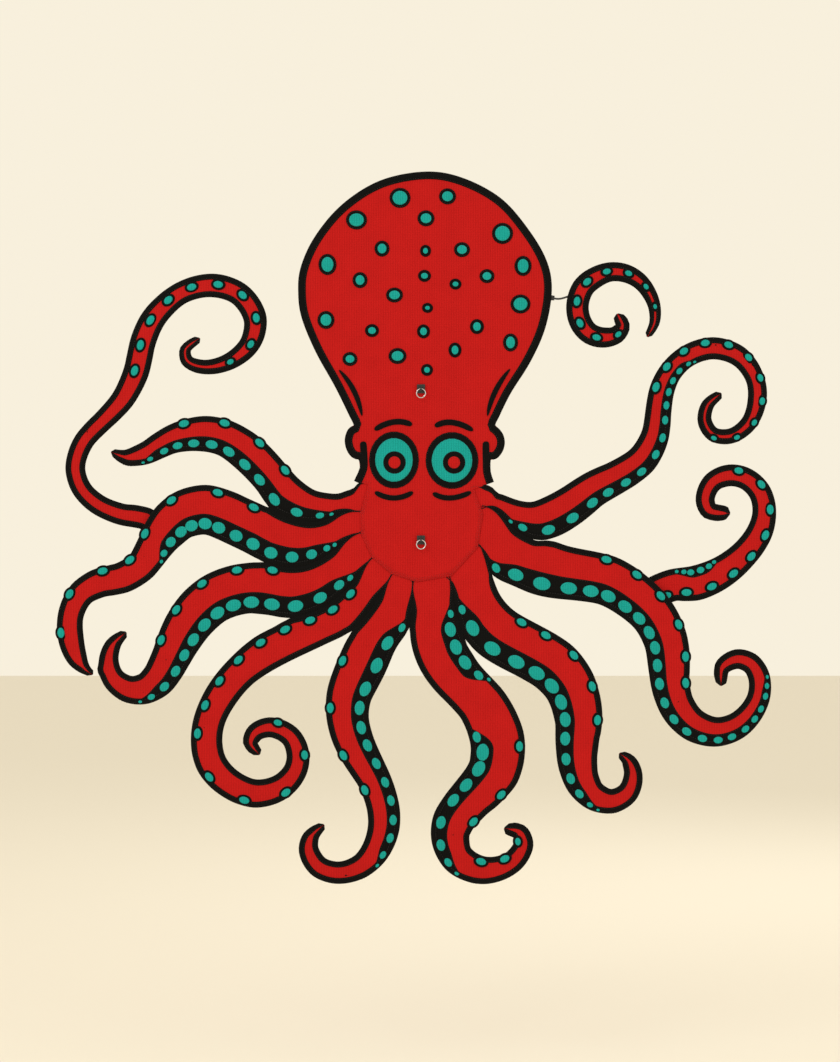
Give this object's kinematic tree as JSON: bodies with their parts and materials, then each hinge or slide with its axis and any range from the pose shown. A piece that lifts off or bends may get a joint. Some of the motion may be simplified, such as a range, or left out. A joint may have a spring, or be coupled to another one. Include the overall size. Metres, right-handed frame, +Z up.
{
  "type": "octopus kite",
  "caption": "Framed figure kite in the shape of an octopus: cloth head on bent hoops and a spine, and curled cloth arms on bent spars that swing on a ring.",
  "frame": {"origin": "tow point: back of the cloth at the centre of the arm ring, on the spine", "axes": "+Y from the decorated front to the back, +Z up along the spine to the top of the head, +X right as the front is seen"},
  "size_m": [1.4516, 0.0699, 1.4299],
  "materials": {
    "red_cloth": "plain-weave kite cloth, matt",
    "black_cloth": "plain-weave kite cloth and binding tape",
    "teal_cloth": "plain-weave kite cloth patches",
    "carbon_rod": "wrapped carbon tube",
    "fibreglass_rod": "drawn fibreglass rod",
    "black_nylon": "moulded nylon",
    "steel_wire": "bright"
  },
  "bodies": {
    "head": {"head_sail": "red_cloth", "spine": "carbon_rod", "hoop_left": "fibreglass_rod", "hoop_right": "fibreglass_rod", "top_fitting": "black_nylon", "upper_spreader": "carbon_rod", "lower_spreader": "carbon_rod", "upper_spine_cross": "black_nylon", "lower_spine_cross": "black_nylon", "upper_clip_left": "black_nylon", "upper_clip_right": "black_nylon", "lower_clip_left": "black_nylon", "lower_clip_right": "black_nylon", "hub_ring": "fibreglass_rod", "ring_clip_top": "black_nylon", "ring_clip_bottom": "black_nylon", "ring_clip_left": "black_nylon", "ring_clip_right": "black_nylon", "hub_plate": "black_nylon", "upper_tow_tab": "black_nylon", "lower_tow_tab": "black_nylon"},
    "arm_2": {"arm_2_sail": "red_cloth", "arm_2_spar": "fibreglass_rod", "arm_2_knuckle": "black_nylon"},
    "arm_3": {"arm_3_sail": "red_cloth", "arm_3_spar": "fibreglass_rod", "arm_3_knuckle": "black_nylon"},
    "arm_4": {"arm_4_sail": "red_cloth", "arm_4_spar": "fibreglass_rod", "arm_4_knuckle": "black_nylon"},
    "arm_5": {"arm_5_sail": "red_cloth", "arm_5_spar": "fibreglass_rod", "arm_5_knuckle": "black_nylon"},
    "arm_6": {"arm_6_sail": "red_cloth", "arm_6_spar": "fibreglass_rod", "arm_6_knuckle": "black_nylon"},
    "arm_7": {"arm_7_sail": "red_cloth", "arm_7_spar": "fibreglass_rod", "arm_7_knuckle": "black_nylon"},
    "arm_8": {"arm_8_sail": "red_cloth", "arm_8_spar": "fibreglass_rod", "arm_8_knuckle": "black_nylon"},
    "arm_9": {"arm_9_sail": "red_cloth", "arm_9_spar": "fibreglass_rod", "arm_9_knuckle": "black_nylon"},
    "arm_11": {"arm_11_sail": "red_cloth", "arm_11_spar": "fibreglass_rod", "arm_11_knuckle": "black_nylon"},
    "arm_1": {"arm_1_sail": "red_cloth", "arm_1_spar": "fibreglass_rod", "arm_1_knuckle": "black_nylon"},
    "arm_10": {"arm_10_sail": "red_cloth", "arm_10_spar": "fibreglass_rod", "arm_10_knuckle": "black_nylon"},
    "curl": {"curl_sail": "red_cloth", "curl_spar": "fibreglass_rod", "curl_knuckle": "black_nylon"},
    "upper_tow_ring": {"upper_tow_ring": "steel_wire"},
    "lower_tow_ring": {"lower_tow_ring": "steel_wire"}
  },
  "joints": [
    {"name": "arm_2_swing", "type": "hinge", "parent": "head", "child": "arm_2", "pos_m": [-0.11591, 0.012, 0.03106], "axis": [-0.2588, 0, -0.9659], "range_deg": [-8, 20]},
    {"name": "arm_3_swing", "type": "hinge", "parent": "head", "child": "arm_3", "pos_m": [-0.11993, 0.012, -0.00419], "axis": [0.0349, 0, -0.9994], "range_deg": [-8, 20]},
    {"name": "arm_4_swing", "type": "hinge", "parent": "head", "child": "arm_4", "pos_m": [-0.10963, 0.012, -0.04881], "axis": [0.4067, 0, -0.9135], "range_deg": [-8, 20]},
    {"name": "arm_5_swing", "type": "hinge", "parent": "head", "child": "arm_5", "pos_m": [-0.07873, 0.012, -0.09057], "axis": [0.7547, 0, -0.6561], "range_deg": [-8, 20]},
    {"name": "arm_6_swing", "type": "hinge", "parent": "head", "child": "arm_6", "pos_m": [-0.03589, 0.012, -0.11451], "axis": [0.9542, 0, -0.299], "range_deg": [-8, 20]},
    {"name": "arm_7_swing", "type": "hinge", "parent": "head", "child": "arm_7", "pos_m": [0.02084, 0.012, -0.11818], "axis": [0.9848, 0, 0.1736], "range_deg": [-8, 20]},
    {"name": "arm_8_swing", "type": "hinge", "parent": "head", "child": "arm_8", "pos_m": [0.08776, 0.012, -0.08184], "axis": [0.682, 0, 0.7314], "range_deg": [-8, 20]},
    {"name": "arm_9_swing", "type": "hinge", "parent": "head", "child": "arm_9", "pos_m": [0.11852, 0.012, -0.01877], "axis": [0.1564, 0, 0.9877], "range_deg": [-8, 20]},
    {"name": "arm_11_swing", "type": "hinge", "parent": "head", "child": "arm_11", "pos_m": [0.11276, 0.012, 0.04104], "axis": [-0.342, 0, 0.9397], "range_deg": [-8, 20]},
    {"name": "arm_1_swing", "type": "hinge", "parent": "arm_3", "child": "arm_1", "pos_m": [-0.52057, 0.0214, -0.03122], "axis": [-0.58, 0.0571, -0.8126], "range_deg": [0, 25]},
    {"name": "arm_10_swing", "type": "hinge", "parent": "arm_9", "child": "arm_10", "pos_m": [0.44233, 0.01723, -0.16602], "axis": [-0.7419, -0.0733, 0.6665], "range_deg": [0, 25]},
    {"name": "curl_swing", "type": "hinge", "parent": "head", "child": "curl", "pos_m": [0.25115, 0.0045, 0.44571], "axis": [0.0934, 0, 0.9956], "range_deg": [0, 25]},
    {"name": "upper_tow_ring_swing", "type": "hinge", "parent": "head", "child": "upper_tow_ring", "pos_m": [0, -0.01, 0.262], "axis": [-1, 0, 0], "range_deg": [-10, 90]},
    {"name": "lower_tow_ring_swing", "type": "hinge", "parent": "head", "child": "lower_tow_ring", "pos_m": [0, -0.01, -0.04], "axis": [-1, 0, 0], "range_deg": [-10, 90]}
  ]
}
